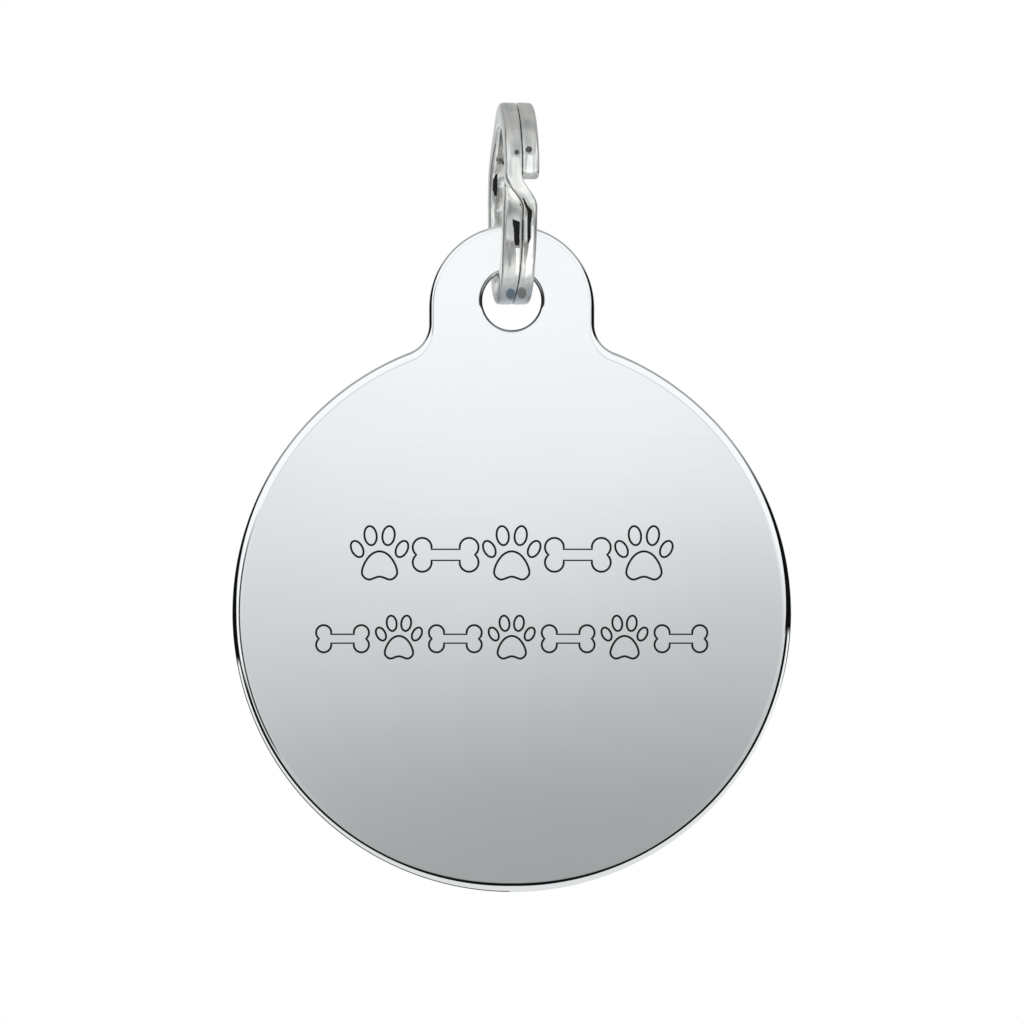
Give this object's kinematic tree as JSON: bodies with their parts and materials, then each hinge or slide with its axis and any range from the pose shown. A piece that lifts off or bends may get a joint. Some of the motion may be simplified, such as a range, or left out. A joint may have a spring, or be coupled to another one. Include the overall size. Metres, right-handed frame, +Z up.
{
  "type": "pet id tag",
  "caption": "Round polished steel pet ID tag with an ear, hung by its hole on a small two-turn split ring for a collar.",
  "frame": {"origin": "inside top of the split ring, midway between its two turns, where a collar's eye bears", "axes": "+Z up, the tag hangs along -Z; -Y is the marked front face's normal; +X to the right seen from the front; the ring stands almost in the YZ plane"},
  "size_m": [0.0318, 0.0116, 0.0449],
  "materials": {
    "tag_steel": "stamped stainless steel sheet, mirror polished on both faces and round the edge",
    "ring_steel": "flattened steel wire, bright nickel plated, with fine drawing marks"
  },
  "bodies": {
    "ring": {"split_ring": "ring_steel"},
    "tag": {"tag_blank": "tag_steel"}
  },
  "joints": [
    {"name": "tag_swing", "type": "hinge", "parent": "ring", "child": "tag", "pos_m": [0, 0, -0.00997], "axis": [0, 1, 0], "range_deg": [-108, 108]}
  ]
}
